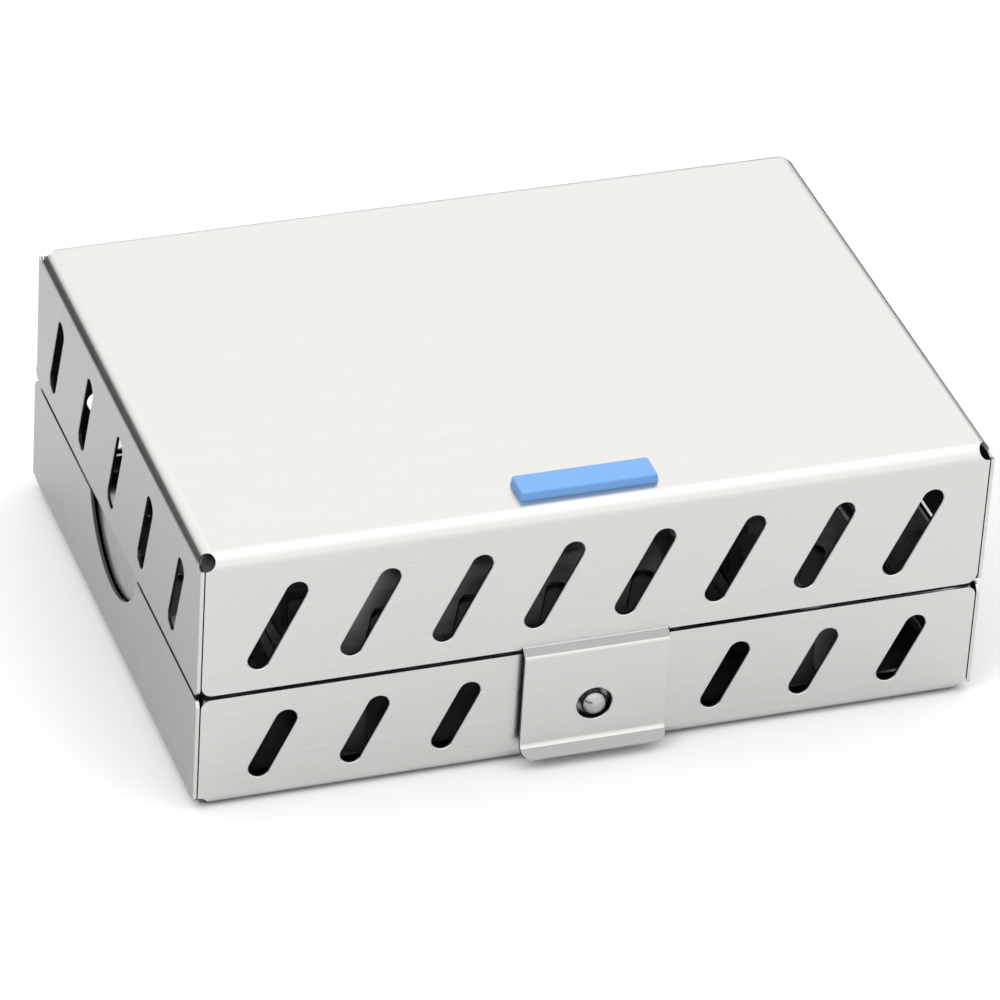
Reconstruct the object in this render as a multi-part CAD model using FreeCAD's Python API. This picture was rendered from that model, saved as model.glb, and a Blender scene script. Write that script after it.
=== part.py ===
"""Hinged, perforated stainless steel cassette for mouth mirrors.

A folded base and a deeper folded lid turn on a full-length pin at the rear.  A springy tab on
the lid snaps over a domed stud on the base.  Inside, a lift-out cradle carries two silicone
combs, and two silicone strips under the lid steady what stands in them.

Frame: origin at the middle of the base's underside, +X to the right, +Y to the hinge, +Z up.
Units are millimetres.
"""
import FreeCAD
import Part
import math
import os

V = FreeCAD.Vector

# ---------------------------------------------------------------- driving sizes
# box
width = 180.0
base_depth = 130.0
base_height = 28.7
lid_height = 35.4
lid_setback = 1.5          # rear of the lid stands this far in front of the rear of the base
parting_gap = 1.1
sheet = 0.8
bend_radius = 3.4          # outer radius of the long folds
seam = 0.3                 # hairline between a front or rear wall and the side walls
edge_break = 0.15          # punched edges
past = 1.0                 # cutters run this far past the faces they go through
nick = 0.01                # and this far over a face that they stop at

# corner reliefs and rounded corners
relief_radius = 2.2
relief_inset = 1.25
lid_front_corner = 2.6
lid_side_corner = 2.0
base_front_corner = 2.2
base_side_corner = 2.0

# ventilation slots
slot_width = 5.0
front_slot_pitch = 20.7
front_slot_slant = 25.6    # degrees from upright
side_slot_pitch = 23.8
side_slot_slant = 19.0
lid_slot_low = 7.7         # lower cap centre above the lid's edge
lid_slot_high = 11.4       # upper cap centre below the lid's top
side_slot_low = 6.9
side_slot_high = 11.6
base_slot_low = 9.0
base_slot_high = 8.0
end_margin = 15.0          # least distance from a wall's end to the middle of a slot
side_end_margin = 12.5
floor_slot_length = 17.0
floor_row_pitch = 24.0

# finger notches in the base's side walls
notch_radius = 19.6
notch_depth = 14.0

# hinge
pin_radius = 1.05
pin_end_round = 0.35
pin_clearance = 0.05
knuckle_count = 9
knuckle_gap = 0.4
eye_gap_angle = 62.0       # the rolled eyes stop this short of a full turn
leaf_bend = 0.4
hinge_air = 0.5            # room round the rolled eyes

# latch
tab_width = 33.4
tab_root = 0.5             # the tab starts this far above the lid's lower edge
tab_joggle_out = 2.1
tab_joggle_drop = 1.4
tab_joggle_start = 0.1     # the joggle starts this far above the lid's lower edge
tab_crease_height = 5.3    # crease of the thumb lip above the base's underside
lip_out = 2.8
lip_drop = 2.3
lip_corner = 2.5
tab_bend = 0.6
lip_bend = 1.9
root_relief = 0.25         # gap each side of the tab where it leaves the lid
tab_hole_radius = 4.1
stud_height = 14.1
stud_head_radius = 2.9
stud_head_rise = 2.2
stud_neck_radius = 2.2
stud_shank_radius = 1.6
stud_grip = 0.3            # the head's widest part stands this far in front of the tab's rear face
rivet_head_radius = 2.5
rivet_crown_radius = 2.0
rivet_edge_height = 0.5
rivet_head_height = 0.7
washer_radius = 4.0
washer_thickness = 0.5
shank_clearance = 0.05

# identification tab on the lid
id_length = 31.5
id_depth = 7.5
id_thickness = 2.1
id_front_inset = 5.0
id_offset = -1.9
id_round = 0.6
plug_radius = 1.7
plug_spacing = 18.0
plug_clearance = 0.05
plug_head_radius = 2.6
plug_head_height = 1.2

# cradle
cradle_side_gap = 0.4
cradle_front_gap = 1.6
cradle_rear_gap = 0.8
cradle_floor_gap = 0.1
cradle_bend = 3.0
cradle_top_gap = 0.6
cradle_lip_height = 6.0

# combs on the cradle and hold-down strips under the lid
rail_offset = 52.0         # each rail's distance from the middle of the box
rail_width = 8.0
rail_height = 5.0
rail_sheet = 0.6
rail_end_gap = 4.0
rail_clearance = 0.05
comb_width = 6.0
comb_height = 16.0
comb_pitch = 11.0
comb_slot = 3.2
comb_slot_depth = 9.0
comb_lead_in = 1.2
comb_crown = 1.5
strip_width = 4.0
strip_height = 8.0
strip_groove = 1.6

# ---------------------------------------------------------------- derived places
half_width = width / 2.0
front_y = -base_depth / 2.0
rear_y = base_depth / 2.0
lid_rear_y = rear_y - lid_setback
lid_depth = lid_rear_y - front_y
lid_middle_y = (lid_rear_y + front_y) / 2.0
lid_low = base_height + parting_gap
lid_top = lid_low + lid_height
eye_in = pin_radius + pin_clearance
eye_out = eye_in + sheet
axis_y = rear_y - sheet + eye_out
axis_z = base_height + parting_gap / 2.0
wall_span = width - 2.0 * (sheet + seam)


def box(x0, x1, y0, y1, z0, z1):
    """A block between two corners."""
    return Part.makeBox(x1 - x0, y1 - y0, z1 - z0, V(x0, y0, z0))


def level_edges(shape, height):
    """The edges of a shape that lie flat at one height."""
    flat = []
    for edge in shape.Edges:
        bounds = edge.BoundBox
        if abs(bounds.ZMin - height) < 1e-6 and abs(bounds.ZMax - height) < 1e-6:
            flat.append(edge)
    return flat


def open_pan(length, depth, height, thickness, radius):
    """A folded pan, open at the top, with rounded folds round its floor."""
    outer = box(-length / 2, length / 2, -depth / 2, depth / 2, 0, height)
    outer = outer.makeFillet(radius, level_edges(outer, 0.0))
    inner = box(-length / 2 + thickness, length / 2 - thickness,
                -depth / 2 + thickness, depth / 2 - thickness, thickness, height + past)
    inner = inner.makeFillet(radius - thickness, level_edges(inner, thickness))
    return outer.cut(inner)


def corner_signs():
    """The four corners of the box, as signs of X and Y."""
    return [(sx, sy) for sx in (-1, 1) for sy in (-1, 1)]


def corner_cuts(depth, height):
    """Relief holes where three folds meet, and the hairline seams that run into them."""
    cuts = []
    for sx, sy in corner_signs():
        centre = V(sx * (half_width - relief_inset), sy * (depth / 2 - relief_inset), relief_inset)
        cuts.append(Part.makeSphere(relief_radius, centre))
        xs = sorted((sx * (half_width - sheet - seam), sx * (half_width - sheet)))
        ys = sorted((sy * (depth / 2 + past), sy * (depth / 2 - sheet - nick)))
        seam_foot = relief_inset + relief_radius / 2.0
        cuts.append(box(xs[0], xs[1], ys[0], ys[1], seam_foot, height + past))
    return cuts


def rounded_corner(u, top, side, radius):
    """What is cut from a wall's free corner at (u, top); the wall goes to the side given."""
    us = sorted((u, u + side * radius))
    block = box(us[0] - nick, us[1] + nick, -past, sheet + nick, top - radius, top + nick)
    centre = V(u + side * radius, -2.0 * past, top - radius)
    return block.cut(Part.makeCylinder(radius, sheet + 4.0 * past, centre, V(0, 1, 0)))


def obround_wire(low, high, radius, y):
    """A slot's outline in the plane of a wall: two half circles joined by straight sides."""
    along = (high - low).normalize()
    across = V(along.z, 0, -along.x) * radius
    tip = along * radius
    low = V(low.x, y, low.z)
    high = V(high.x, y, high.z)
    edges = [
        Part.LineSegment(low + across, high + across).toShape(),
        Part.Arc(high + across, high + tip, high - across).toShape(),
        Part.LineSegment(high - across, low - across).toShape(),
        Part.Arc(low - across, low - tip, low + across).toShape(),
    ]
    return Part.Wire(edges)


def slot_cutter(middle, low_z, high_z, slant):
    """A slanted slot through a wall whose outer face is y = 0, with its outer edge broken."""
    lean = (high_z - low_z) * math.tan(math.radians(slant)) / 2.0
    low = V(middle - lean, 0, low_z)
    high = V(middle + lean, 0, high_z)
    radius = slot_width / 2.0
    core = Part.Face(obround_wire(low, high, radius, -past)).extrude(V(0, sheet + 2.0 * past, 0))
    mouth = Part.makeLoft([obround_wire(low, high, radius + 2 * edge_break, -edge_break),
                           obround_wire(low, high, radius, edge_break)], True, True)
    return core.fuse(mouth)


def slot_middles(span, pitch, margin):
    """Evenly pitched places along a wall, as many as its length takes."""
    count = int((span - 2.0 * margin) // pitch) + 1
    first = -(count - 1) * pitch / 2.0
    return [first + i * pitch for i in range(count)]


def on_wall(shape, wall, middle, outer_face):
    """Carry a cutter from the plane y = 0 to a wall, keeping right to the right outside."""
    turn = {"front": 0, "left": -90, "rear": 180, "right": 90}[wall]
    placed = shape.copy()
    placed.rotate(V(0, 0, 0), V(0, 0, 1), turn)
    move = {
        "front": V(0, -outer_face, 0),
        "rear": V(0, outer_face, 0),
        "left": V(-outer_face, middle, 0),
        "right": V(outer_face, middle, 0),
    }[wall]
    placed.translate(move)
    return placed


def wall_slots(places, low_z, high_z, slant, wall, middle, outer_face):
    """A row of slots on one wall."""
    return [on_wall(slot_cutter(u, low_z, high_z, slant), wall, middle, outer_face) for u in places]


def knuckle_spans():
    """The two ends of each hinge knuckle along X, from left to right."""
    pitch = (wall_span + knuckle_gap) / knuckle_count
    first = -wall_span / 2.0
    return [(first + i * pitch, first + (i + 1) * pitch - knuckle_gap) for i in range(knuckle_count)]


def ring_sector(y, z, inner, outer, start, sweep, x0, x1):
    """Part of a tube along X, swept anticlockwise from an angle measured from +Y."""
    ring = Part.makeCylinder(outer, x1 - x0, V(x0, y, z), V(1, 0, 0))
    ring = ring.cut(Part.makeCylinder(inner, x1 - x0 + 2.0 * past, V(x0 - past, y, z), V(1, 0, 0)))
    if sweep >= 360.0:
        return ring
    reach = 4.0 * outer
    steps = 8
    corners = [V(x0 - past, y, z)]
    for i in range(steps + 1):
        angle = math.radians(start + sweep * i / steps)
        corners.append(V(x0 - past, y + reach * math.cos(angle), z + reach * math.sin(angle)))
    corners.append(corners[0])
    wedge = Part.Face(Part.makePolygon(corners)).extrude(V(x1 - x0 + 2.0 * past, 0, 0))
    return ring.common(wedge)


def base_knuckle(x0, x1):
    """The rear wall carried up and rolled rearwards round the pin."""
    leg = box(x0, x1, rear_y - sheet, rear_y, base_height - past, axis_z)
    wrap = 360.0 - eye_gap_angle
    eye = ring_sector(axis_y, axis_z, eye_in, eye_out, 180.0 - wrap, wrap, x0, x1)
    return leg.fuse(eye)


def lid_knuckle(x0, x1):
    """The lid's rear wall turned rearwards and rolled down round the pin."""
    flange_z = axis_z + eye_in
    bend_y = lid_rear_y + leaf_bend
    bend_z = flange_z + sheet + leaf_bend
    fold = ring_sector(bend_y, bend_z, leaf_bend, leaf_bend + sheet, 180.0, 90.0, x0, x1)
    flange = box(x0, x1, bend_y, axis_y, flange_z, flange_z + sheet)
    wrap = 360.0 - eye_gap_angle
    eye = ring_sector(axis_y, axis_z, eye_in, eye_out, 90.0 - wrap, wrap, x0, x1)
    return fold.fuse([flange, eye])


def floor_slots(length, depth, middle_y, top):
    """Rows of slanted slots through a floor whose upper face is at the height given."""
    cutters = []
    rise = (floor_slot_length - slot_width) * math.cos(math.radians(front_slot_slant))
    for row in slot_middles(depth, floor_row_pitch, end_margin):
        for u in slot_middles(length, front_slot_pitch, end_margin):
            cutter = slot_cutter(u, -rise / 2.0, rise / 2.0, front_slot_slant)
            cutter.rotate(V(0, 0, 0), V(1, 0, 0), -90.0)
            cutter.translate(V(0, middle_y + row, top))
            cutters.append(cutter)
    return cutters


def finger_notches():
    """Part-circle cuts from the top edge of both side walls, with broken outer edges."""
    centre_z = base_height - notch_depth + notch_radius
    cutters = []
    for side in (-1, 1):
        face = side * half_width
        start = min(face - side * (sheet + past), face + side * past)
        length = sheet + 2.0 * past
        cutters.append(Part.makeCylinder(notch_radius, length, V(start, 0, centre_z), V(1, 0, 0)))
        mouth = Part.makeCone(notch_radius + 2 * edge_break, notch_radius, 2 * edge_break,
                              V(face + side * edge_break, 0, centre_z), V(-side, 0, 0))
        cutters.append(mouth)
    return cutters


def make_base():
    """The folded base with its slots, finger notches and half of the hinge."""
    pan = open_pan(width, base_depth, base_height, sheet, bend_radius)
    cuts = corner_cuts(base_depth, base_height)
    edge = half_width - sheet - seam
    for wall in ("front", "rear"):
        for side in (-1, 1):
            cutter = rounded_corner(side * edge, base_height, -side, base_front_corner)
            cuts.append(on_wall(cutter, wall, 0.0, rear_y))
    for wall in ("left", "right"):
        for side in (-1, 1):
            cutter = rounded_corner(side * rear_y, base_height, -side, base_side_corner)
            cuts.append(on_wall(cutter, wall, 0.0, half_width))
    places = slot_middles(width, front_slot_pitch, end_margin)
    clear = tab_width / 2.0 + slot_width
    low = base_slot_low
    high = base_height - base_slot_high
    front_places = [u for u in places if abs(u) > clear]
    cuts += wall_slots(front_places, low, high, front_slot_slant, "front", 0.0, rear_y)
    cuts += wall_slots(places, low, high, front_slot_slant, "rear", 0.0, rear_y)
    cuts += floor_slots(width, base_depth, 0.0, sheet)
    cuts += finger_notches()
    cuts.append(Part.makeCylinder(stud_shank_radius + shank_clearance, sheet + 2.0 * past,
                                  V(0, front_y - past, stud_height), V(0, 1, 0)))
    spans = knuckle_spans()
    window_foot = axis_z - eye_out - hinge_air
    for x0, x1 in spans[1::2]:
        cuts.append(box(x0 - knuckle_gap, x1 + knuckle_gap, rear_y - sheet - nick, rear_y + past,
                        window_foot, base_height + past))
    pan = pan.cut(cuts)
    knuckles = [base_knuckle(x0, x1) for x0, x1 in spans[0::2]]
    return pan.fuse(knuckles).removeSplitter()


def make_lid():
    """The folded lid with its slots, the root of the latch tab and half of the hinge."""
    pan = open_pan(width, lid_depth, lid_height, sheet, bend_radius)
    pan = pan.cut(corner_cuts(lid_depth, lid_height))
    pan.rotate(V(0, 0, 0), V(1, 0, 0), 180.0)
    pan.translate(V(0, lid_middle_y, lid_top))

    cuts = []
    edge = half_width - sheet - seam
    for wall, face in (("front", -front_y), ("rear", lid_rear_y)):
        for side in (-1, 1):
            cutter = rounded_corner(side * edge, lid_low, -side, lid_front_corner)
            cutter = cutter.mirror(V(0, 0, lid_low), V(0, 0, 1))
            cuts.append(on_wall(cutter, wall, 0.0, face))
    for wall in ("left", "right"):
        for side in (-1, 1):
            cutter = rounded_corner(side * lid_depth / 2, lid_low, -side, lid_side_corner)
            cutter = cutter.mirror(V(0, 0, lid_low), V(0, 0, 1))
            cuts.append(on_wall(cutter, wall, lid_middle_y, half_width))

    low = lid_low + lid_slot_low
    high = lid_top - lid_slot_high
    places = slot_middles(width, front_slot_pitch, end_margin)
    cuts += wall_slots(places, low, high, front_slot_slant, "front", 0.0, -front_y)
    cuts += wall_slots(places, low, high, front_slot_slant, "rear", 0.0, lid_rear_y)
    low = lid_low + side_slot_low
    high = lid_top - side_slot_high
    places = slot_middles(lid_depth, side_slot_pitch, side_end_margin)
    for wall in ("left", "right"):
        cuts += wall_slots(places, low, high, side_slot_slant, wall, 0.0, half_width)

    root_half = tab_width / 2.0 + root_relief
    cuts.append(box(-root_half, root_half, front_y - past, front_y + sheet + nick,
                    lid_low - past, lid_low + tab_root))
    for x in plug_places():
        cuts.append(Part.makeCylinder(plug_radius + plug_clearance, sheet + 2.0 * past,
                                      V(x, id_middle_y(), lid_top - sheet - past)))
    spans = knuckle_spans()
    window_top = axis_z + eye_in + sheet + leaf_bend
    for x0, x1 in spans[1::2]:
        cuts.append(box(x0, x1, lid_rear_y - sheet - nick, lid_rear_y + past, lid_low - past, window_top))
    pan = pan.cut(cuts)
    knuckles = [lid_knuckle(x0, x1) for x0, x1 in spans[1::2]]
    return pan.fuse(knuckles).removeSplitter()


def bent_strip(corners, radii, thickness, x0, x1):
    """A strip of sheet folded along X; corners are its middle line in (y, z), radii its bends."""
    points = [V(0, y, z) for y, z in corners]
    pieces = []
    start = points[0]
    for i in range(1, len(points)):
        ahead = (points[i] - points[i - 1]).normalize()
        side = V(0, -ahead.z, ahead.y) * (thickness / 2.0)
        if i == len(points) - 1:
            stop = points[i]
        else:
            onward = (points[i + 1] - points[i]).normalize()
            turn = ahead.getAngle(onward)
            radius = radii[i - 1]
            setback = radius * math.tan(turn / 2.0)
            stop = points[i] - ahead * setback
            bend = 1.0 if ahead.cross(onward).x > 0 else -1.0
            centre = stop + V(0, -ahead.z, ahead.y) * (bend * radius)
            from_centre = stop - centre
            begin = math.degrees(math.atan2(from_centre.z, from_centre.y))
            if bend < 0:
                begin -= math.degrees(turn)
            inner = radius - thickness / 2.0
            pieces.append(ring_sector(centre.y, centre.z, inner, inner + thickness, begin,
                                      math.degrees(turn), x0, x1))
        outline = [start + side, stop + side, stop - side, start - side, start + side]
        flat = Part.Face(Part.makePolygon([V(x0, p.y, p.z) for p in outline]))
        pieces.append(flat.extrude(V(x1 - x0, 0, 0)))
        if i < len(points) - 1:
            start = points[i] + onward * setback
    return pieces[0].fuse(pieces[1:]).removeSplitter()


def make_latch_tab():
    """The tab that hangs from the lid's front wall, joggled out over the base, with a thumb lip."""
    middle = front_y + sheet / 2.0
    outside = middle - tab_joggle_out
    joggle_top = lid_low + tab_joggle_start
    corners = [
        (middle, lid_low + tab_root),
        (middle, joggle_top),
        (outside, joggle_top - tab_joggle_drop),
        (outside, tab_crease_height),
        (outside - lip_out, tab_crease_height - lip_drop),
    ]
    half = tab_width / 2.0
    tab = bent_strip(corners, [tab_bend, tab_bend, lip_bend], sheet, -half, half)
    lip_edges = []
    for edge in tab.Edges:
        bounds = edge.BoundBox
        at_side = abs(abs(bounds.XMin) - half) < 1e-6 and bounds.XLength < 1e-6
        at_lip = bounds.YMin < outside - lip_out + sheet and abs(edge.Length - sheet) < 1e-4
        if at_side and at_lip and bounds.ZMax < tab_crease_height:
            lip_edges.append(edge)
    tab = tab.makeFillet(lip_corner, lip_edges)
    hole = Part.makeCylinder(tab_hole_radius, sheet + 2.0 * past,
                             V(0, outside - sheet / 2 - past, stud_height), V(0, 1, 0))
    mouth = Part.makeCone(tab_hole_radius + 2 * edge_break, tab_hole_radius, 2 * edge_break,
                          V(0, outside - sheet / 2 - edge_break, stud_height), V(0, 1, 0))
    return tab.cut([hole, mouth])


def turned(profile, x, z):
    """A body turned about an axis along Y; the profile is (radius, y) going round once."""
    points = [V(x + r, y, z) for r, y in profile]
    face = Part.Face(Part.makePolygon(points + [points[0]]))
    return face.revolve(V(x, 0, z), V(0, 1, 0), 360.0)


def make_stud():
    """The domed stud riveted through the base's front wall."""
    ahead = V(0, 1, 0)
    head_foot = front_y - tab_joggle_out + sheet - stud_grip
    inside = front_y + sheet + washer_thickness
    neck = Part.makeCylinder(stud_neck_radius, front_y - head_foot, V(0, head_foot, stud_height), ahead)
    shank = Part.makeCylinder(stud_shank_radius, inside - front_y, V(0, front_y, stud_height), ahead)
    rivet = turned([(0.0, inside), (rivet_head_radius, inside),
                    (rivet_crown_radius, inside + rivet_edge_height),
                    (0.0, inside + rivet_head_height)], 0.0, stud_height)
    dome_radius = (stud_head_radius ** 2 + stud_head_rise ** 2) / (2.0 * stud_head_rise)
    head_front = head_foot - stud_head_rise
    ball = Part.makeSphere(dome_radius, V(0, head_front + dome_radius, stud_height))
    slab = box(-dome_radius, dome_radius, head_front - past, head_foot,
               stud_height - dome_radius, stud_height + dome_radius)
    dome = ball.common(slab)
    return dome.fuse([neck, shank, rivet]).removeSplitter()


def make_washer():
    """The washer under the stud's riveted end."""
    start = V(0, front_y + sheet, stud_height)
    disc = Part.makeCylinder(washer_radius, washer_thickness, start, V(0, 1, 0))
    hole = Part.makeCylinder(stud_shank_radius + shank_clearance, washer_thickness, start, V(0, 1, 0))
    return disc.cut(hole)


def make_hinge_pin():
    """The pin through all the knuckles, with its two ends rounded."""
    half = wall_span / 2.0
    pin = Part.makeCylinder(pin_radius, 2.0 * half, V(-half, axis_y, axis_z), V(1, 0, 0))
    return pin.makeFillet(pin_end_round, [edge for edge in pin.Edges if edge.Closed])


def id_middle_y():
    """Middle of the identification tab along Y."""
    return front_y + id_front_inset + id_depth / 2.0


def plug_places():
    """Where the identification tab's plugs pass through the lid."""
    return [id_offset - plug_spacing / 2.0, id_offset + plug_spacing / 2.0]


def make_id_tab():
    """The silicone tab on the lid, held by two plugs with heads inside."""
    x0 = id_offset - id_length / 2.0
    y0 = id_middle_y() - id_depth / 2.0
    bar = box(x0, x0 + id_length, y0, y0 + id_depth, lid_top, lid_top + id_thickness)
    bottom = level_edges(bar, lid_top)
    bar = bar.makeFillet(id_round, [e for e in bar.Edges if not any(e.isSame(b) for b in bottom)])
    plugs = []
    inside = lid_top - sheet
    for x in plug_places():
        centre_y = id_middle_y()
        plugs.append(Part.makeCylinder(plug_radius, sheet + id_thickness / 2.0, V(x, centre_y, inside)))
        plugs.append(Part.makeCone(plug_radius, plug_head_radius, plug_head_height,
                                   V(x, centre_y, inside - plug_head_height)))
    return bar.fuse(plugs).removeSplitter()


def cradle_bounds():
    """The cradle's outer limits: half width, front, rear, underside and top."""
    half = half_width - sheet - cradle_side_gap
    front = front_y + sheet + cradle_front_gap
    rear = lid_rear_y - sheet - cradle_rear_gap
    return half, front, rear, sheet + cradle_floor_gap, base_height - cradle_top_gap


def make_cradle():
    """The lift-out cradle: a slotted floor, two tall side walls and low front and rear lips."""
    half, front, rear, under, top = cradle_bounds()
    depth = rear - front
    pan = open_pan(2.0 * half, depth, top - under, sheet, cradle_bend)
    pan.translate(V(0, (front + rear) / 2.0, under))
    cuts = []
    inner = half - sheet
    for y in (front, rear):
        cuts.append(box(-inner, inner, y - sheet - nick, y + sheet + nick,
                        under + cradle_lip_height, top + past))
    for sx in (-1, 1):
        for y in (front, rear):
            sy = 1 if y > 0 else -1
            inset = relief_inset
            cuts.append(Part.makeSphere(relief_radius, V(sx * (half - inset), y - sy * inset, under + inset)))
            xs = sorted((sx * (inner - seam), sx * inner))
            cuts.append(box(xs[0], xs[1], y - sheet - nick, y + sheet + nick, under + inset, top + past))
    for cutter in floor_slots(2.0 * half, depth, (front + rear) / 2.0, under + sheet):
        bounds = cutter.BoundBox
        under_rail = any(bounds.XMin < x + rail_width / 2.0 and bounds.XMax > x - rail_width / 2.0
                         for x in (-rail_offset, rail_offset))
        if not under_rail:
            cuts.append(cutter)
    return pan.cut(cuts).removeSplitter()


def rail(x, front, rear, foot, up):
    """A folded channel along Y; up is 1 when it opens upwards and -1 when it opens downwards."""
    half = rail_width / 2.0
    zs = sorted((foot, foot + up * rail_height))
    body = box(x - half, x + half, front, rear, zs[0], zs[1])
    hollow = sorted((foot + up * rail_sheet, foot + up * (rail_height + past)))
    body = body.cut(box(x - half + rail_sheet, x + half - rail_sheet, front - past, rear + past,
                        hollow[0], hollow[1]))
    folds = [edge for edge in level_edges(body, foot) if edge.BoundBox.YLength > rail_width]
    return body.makeFillet(rail_sheet, folds)


def rail_span():
    """The two ends of the rails along Y, inside the cradle and under the lid alike."""
    _, front, rear, _, _ = cradle_bounds()
    return front + sheet + rail_end_gap, rear - sheet - rail_end_gap


def comb_places(front, rear):
    """Middles of the comb's slots along Y."""
    count = int((rear - front - comb_pitch) // comb_pitch) + 1
    first = (front + rear) / 2.0 - (count - 1) * comb_pitch / 2.0
    return [first + i * comb_pitch for i in range(count)]


def make_comb(x):
    """A silicone comb pressed into its rail, slotted to hold mirrors on edge."""
    front, rear = rail_span()
    foot = cradle_bounds()[3] + sheet + rail_sheet + rail_clearance
    grip = rail_width / 2.0 - rail_sheet - rail_clearance
    base = box(x - grip, x + grip, front, rear, foot, foot + rail_height - rail_sheet)
    blade = box(x - comb_width / 2, x + comb_width / 2, front, rear, foot, foot + comb_height)
    top = foot + comb_height
    crown = [edge for edge in level_edges(blade, top) if edge.BoundBox.YLength > comb_width]
    blade = blade.makeFillet(comb_crown, crown)
    cuts = []
    for y in comb_places(front, rear):
        half = comb_slot / 2.0
        cuts.append(box(x - rail_width, x + rail_width, y - half, y + half,
                        top - comb_slot_depth, top + past))
        flare = [V(x - rail_width, y - half - comb_lead_in - past, top + past),
                 V(x - rail_width, y + half + comb_lead_in + past, top + past),
                 V(x - rail_width, y + half, top - comb_lead_in),
                 V(x - rail_width, y - half, top - comb_lead_in)]
        cuts.append(Part.Face(Part.makePolygon(flare + [flare[0]])).extrude(V(2.0 * rail_width, 0, 0)))
        cuts.append(Part.makeCylinder(half, 2.0 * rail_width, V(x - rail_width, y, top - comb_slot_depth),
                                      V(1, 0, 0)))
    return base.fuse(blade).cut(cuts).removeSplitter()


def make_strip(x):
    """A silicone strip hanging from its rail under the lid, grooved across like the combs."""
    front, rear = rail_span()
    ceiling = lid_top - sheet - rail_sheet - rail_clearance
    grip = rail_width / 2.0 - rail_sheet - rail_clearance
    base = box(x - grip, x + grip, front, rear, ceiling - (rail_height - rail_sheet), ceiling)
    blade = box(x - strip_width / 2, x + strip_width / 2, front, rear, ceiling - strip_height, ceiling)
    cuts = []
    for y in comb_places(front, rear):
        start = V(x - rail_width, y, ceiling - strip_height)
        cuts.append(Part.makeCylinder(strip_groove, 2.0 * rail_width, start, V(1, 0, 0)))
    return base.fuse(blade).cut(cuts).removeSplitter()


def build():
    """Every node of the cassette, by name."""
    front, rear = rail_span()
    floor_top = cradle_bounds()[3] + sheet
    nodes = {
        "base_shell": make_base(),
        "lid_shell": make_lid(),
        "latch_tab": make_latch_tab(),
        "latch_stud": make_stud(),
        "stud_washer": make_washer(),
        "hinge_pin": make_hinge_pin(),
        "id_tab": make_id_tab(),
        "mirror_cradle": make_cradle(),
    }
    for side, x in (("left", -rail_offset), ("right", rail_offset)):
        nodes["comb_rail_" + side] = rail(x, front, rear, floor_top, 1)
        nodes["comb_" + side] = make_comb(x)
        nodes["strip_rail_" + side] = rail(x, front, rear, lid_top - sheet, -1)
        nodes["strip_" + side] = make_strip(x)
    return nodes


os.makedirs("parts", exist_ok=True)
for name, shape in build().items():
    if len(shape.Solids) == 1:
        shape = shape.Solids[0]
    bounds = shape.BoundBox
    print("%-18s solids %d  valid %s  volume %10.1f  x %.2f..%.2f  y %.2f..%.2f  z %.2f..%.2f" % (
        name, len(shape.Solids), shape.isValid(), shape.Volume, bounds.XMin, bounds.XMax,
        bounds.YMin, bounds.YMax, bounds.ZMin, bounds.ZMax))
    shape.exportStep("parts/" + name + ".step")
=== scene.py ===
# %% [markdown]
# # A perforated steel cassette for mouth mirrors
#
# The box is folded from thin brushed stainless sheet: a base, and a deeper lid on a full-length
# pin at the rear.  A springy tab on the lid snaps over a domed stud on the base, and a pale blue
# silicone tab marks the owner.  Inside are a lift-out cradle, silicone combs and hold-down strips.
#
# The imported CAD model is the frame.  Each piece's place and outer size come from its node's box.
# The few sizes that a box can't give, such as the radius of a neck, stand beside their piece.

# %% Load the frame
import math

import bmesh
import bpy
import numpy as np
from mathutils import Matrix, Vector


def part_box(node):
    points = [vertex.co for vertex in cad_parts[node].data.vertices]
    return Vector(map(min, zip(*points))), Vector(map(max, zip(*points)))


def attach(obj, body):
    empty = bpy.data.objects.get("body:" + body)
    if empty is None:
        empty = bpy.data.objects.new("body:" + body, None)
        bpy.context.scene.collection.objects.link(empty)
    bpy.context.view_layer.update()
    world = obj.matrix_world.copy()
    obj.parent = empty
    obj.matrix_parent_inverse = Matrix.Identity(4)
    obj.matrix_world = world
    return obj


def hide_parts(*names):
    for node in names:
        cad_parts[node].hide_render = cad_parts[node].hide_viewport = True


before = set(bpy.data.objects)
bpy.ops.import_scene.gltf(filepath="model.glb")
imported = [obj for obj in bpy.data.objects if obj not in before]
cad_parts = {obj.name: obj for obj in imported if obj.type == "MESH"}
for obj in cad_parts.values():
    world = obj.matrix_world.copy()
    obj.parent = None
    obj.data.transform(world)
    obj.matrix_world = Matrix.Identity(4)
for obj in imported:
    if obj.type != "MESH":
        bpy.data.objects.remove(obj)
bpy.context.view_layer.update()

mm = 0.001
boxes = {name: [np.array(corner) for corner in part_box(name)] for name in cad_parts}
lid_low, lid_high = boxes["lid_shell"]
base_low, base_high = boxes["base_shell"]

# %% [markdown]
# ## The camera
#
# A product shot is taken from far away with a long lens, so that the far edges of the box hardly
# converge.  The place of the camera is given in plain terms: how far round from the front, how
# high, how far away, and how much the camera is rolled.

# %% Camera
view_from_left = math.radians(20.63)
view_height = math.radians(33.95)
view_roll = math.radians(3.76)
view_distance = 1.510
view_aim = Vector((-1.27, -4.09, 26.25)) * mm
lens_length = 243.15


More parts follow.
